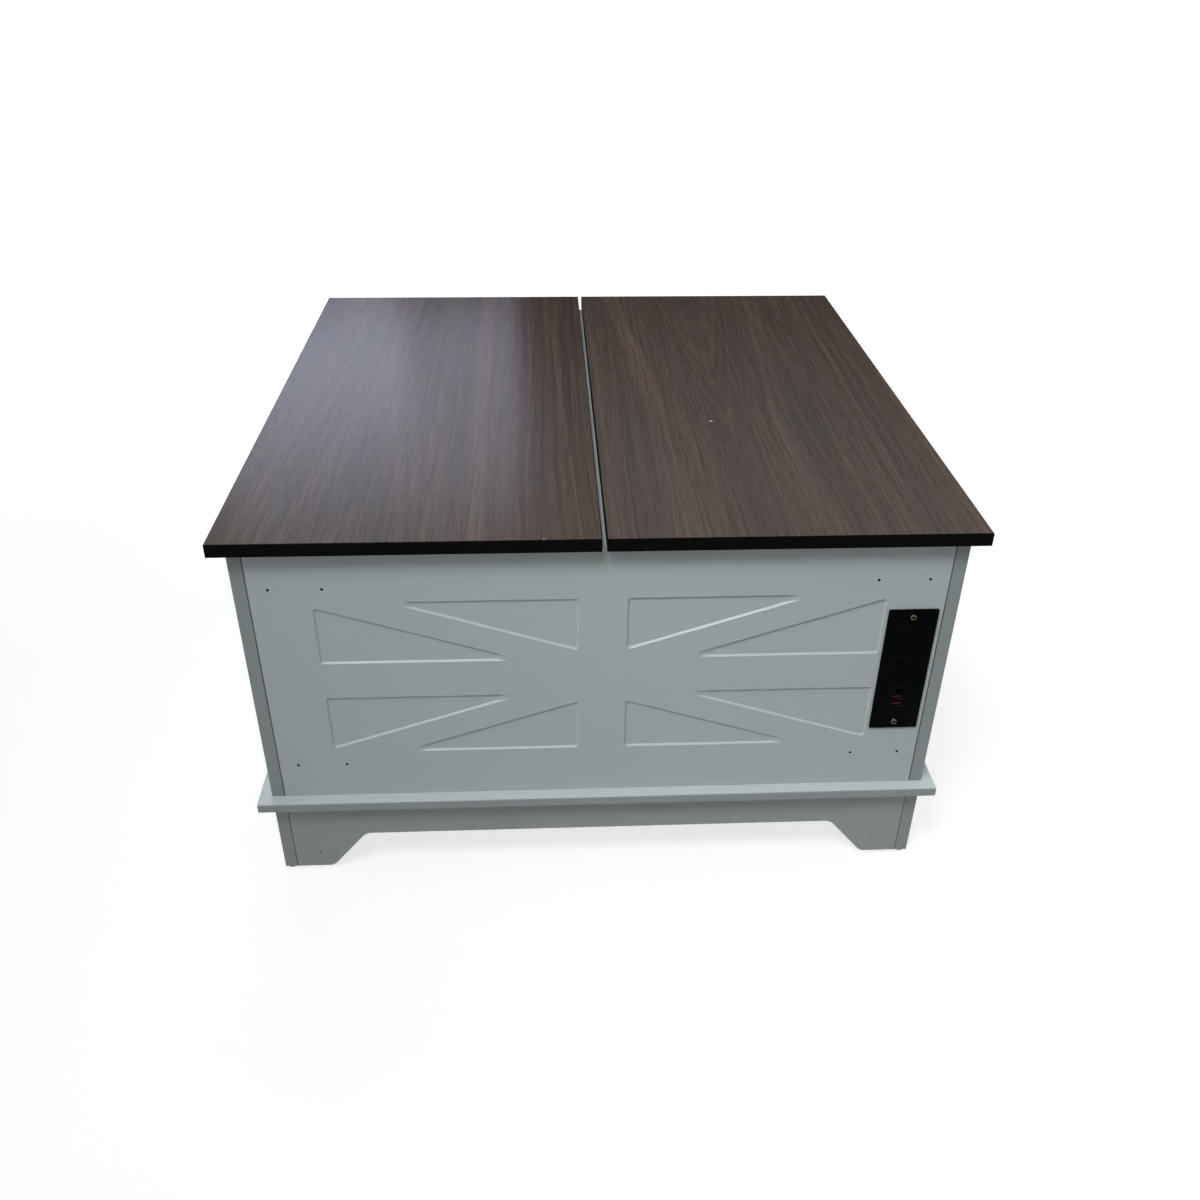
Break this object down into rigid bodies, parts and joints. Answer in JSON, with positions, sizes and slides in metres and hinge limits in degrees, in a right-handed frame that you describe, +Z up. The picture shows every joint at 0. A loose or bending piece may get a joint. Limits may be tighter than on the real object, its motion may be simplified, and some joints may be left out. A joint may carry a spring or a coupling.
{
  "type": "coffee table",
  "caption": "Square storage coffee table with flip-up lids on gas struts, routed barn-door panels, a front power outlet and a bracket-foot plinth.",
  "frame": {"origin": "on the floor, under the middle of the top", "axes": "+Z up, the outlet front towards -Y, +X to the right of someone facing the front"},
  "size_m": [0.8, 0.8, 0.465],
  "materials": {
    "white_board": "satin white painted board",
    "walnut_laminate": "dark walnut woodgrain laminate, satin, fine pores along the grain",
    "black_edge": "black edge banding, satin",
    "beech": "bare beech",
    "steel": "zinc plated steel",
    "dark_steel": "black powder coated steel",
    "zinc": "die-cast zinc",
    "brass": "brass plated screw heads",
    "black_plastic": "black moulded plastic",
    "red_plastic": "red moulded plastic",
    "grey_plastic": "grey moulded plastic",
    "soft_clear": "milky soft plastic"
  },
  "bodies": {
    "case": {"front_panel": "white_board", "back_panel": "white_board", "left_panel": "white_board", "right_panel": "white_board", "centre_divider": "white_board", "plinth_board": "white_board", "front_skirt": "white_board", "back_skirt": "white_board", "left_skirt": "white_board", "right_skirt": "white_board", "centre_stretcher": "white_board", "corner_blocks": "beech", "skirt_cleats": "beech", "foot_glides": "grey_plastic", "cam_locks": "zinc", "cam_bolts": "steel", "wood_dowels": "beech", "floor_screws": "zinc", "lid_bumpers": "soft_clear", "left_hinge_fixed_leaves": "steel", "right_hinge_fixed_leaves": "steel", "left_hinge_pins": "steel", "right_hinge_pins": "steel", "strut_base_brackets": "dark_steel", "strut_base_pins": "steel", "outlet_faceplate": "black_plastic", "outlet_housing": "black_plastic", "upper_mains_socket": "black_plastic", "lower_mains_socket": "black_plastic", "charging_port_block": "black_plastic", "charging_port_tongues": "red_plastic", "outlet_screws": "brass", "lead_gland": "black_plastic", "floor_grommet": "black_plastic"},
    "left_lid": {"left_lid_board": "walnut_laminate", "left_lid_edge_band": "black_edge", "left_lid_hinge_leaves": "steel", "left_lid_strut_brackets": "dark_steel"},
    "right_lid": {"right_lid_board": "walnut_laminate", "right_lid_edge_band": "black_edge", "right_lid_hinge_leaves": "steel", "right_lid_strut_brackets": "dark_steel"},
    "left_front_tube": {"left_front_strut_tube": "dark_steel"},
    "left_front_rod": {"left_front_strut_rod": "steel"},
    "left_back_tube": {"left_back_strut_tube": "dark_steel"},
    "left_back_rod": {"left_back_strut_rod": "steel"},
    "right_front_tube": {"right_front_strut_tube": "dark_steel"},
    "right_front_rod": {"right_front_strut_rod": "steel"},
    "right_back_tube": {"right_back_strut_tube": "dark_steel"},
    "right_back_rod": {"right_back_strut_rod": "steel"}
  },
  "joints": [
    {"name": "left_lid_hinge", "type": "hinge", "parent": "case", "child": "left_lid", "pos_m": [-0.3885, 0, 0.4467], "axis": [0, -1, 0], "range_deg": [0, 90]},
    {"name": "right_lid_hinge", "type": "hinge", "parent": "case", "child": "right_lid", "pos_m": [0.3885, 0, 0.4467], "axis": [0, 1, 0], "range_deg": [0, 90]},
    {"name": "left_front_tube_tilt", "type": "hinge", "parent": "case", "child": "left_front_tube", "pos_m": [-0.35, -0.18, 0.2335], "axis": [0, -1, 0], "range_deg": [0, 23.7]},
    {"name": "left_front_rod_slide", "type": "slide", "parent": "left_front_tube", "child": "left_front_rod", "axis": [0.345, 0, 0.9386], "range_m": [0, 0.1167]},
    {"name": "left_back_tube_tilt", "type": "hinge", "parent": "case", "child": "left_back_tube", "pos_m": [-0.35, 0.18, 0.2335], "axis": [0, -1, 0], "range_deg": [0, 23.7]},
    {"name": "left_back_rod_slide", "type": "slide", "parent": "left_back_tube", "child": "left_back_rod", "axis": [0.345, 0, 0.9386], "range_m": [0, 0.1167]},
    {"name": "right_front_tube_tilt", "type": "hinge", "parent": "case", "child": "right_front_tube", "pos_m": [0.35, -0.18, 0.2335], "axis": [0, 1, 0], "range_deg": [0, 23.7]},
    {"name": "right_front_rod_slide", "type": "slide", "parent": "right_front_tube", "child": "right_front_rod", "axis": [-0.345, 0, 0.9386], "range_m": [0, 0.1167]},
    {"name": "right_back_tube_tilt", "type": "hinge", "parent": "case", "child": "right_back_tube", "pos_m": [0.35, 0.18, 0.2335], "axis": [0, 1, 0], "range_deg": [0, 23.7]},
    {"name": "right_back_rod_slide", "type": "slide", "parent": "right_back_tube", "child": "right_back_rod", "axis": [-0.345, 0, 0.9386], "range_m": [0, 0.1167]}
  ],
  "couplings": [
    {"joint": "left_front_tube_tilt", "follows": "left_lid_hinge", "ratio": 0.26322},
    {"joint": "left_front_rod_slide", "follows": "left_lid_hinge", "m_per_rad": 0.074217},
    {"joint": "left_back_tube_tilt", "follows": "left_lid_hinge", "ratio": 0.26322},
    {"joint": "left_back_rod_slide", "follows": "left_lid_hinge", "m_per_rad": 0.074217},
    {"joint": "right_front_tube_tilt", "follows": "right_lid_hinge", "ratio": 0.26322},
    {"joint": "right_front_rod_slide", "follows": "right_lid_hinge", "m_per_rad": 0.074217},
    {"joint": "right_back_tube_tilt", "follows": "right_lid_hinge", "ratio": 0.26322},
    {"joint": "right_back_rod_slide", "follows": "right_lid_hinge", "m_per_rad": 0.074217}
  ]
}
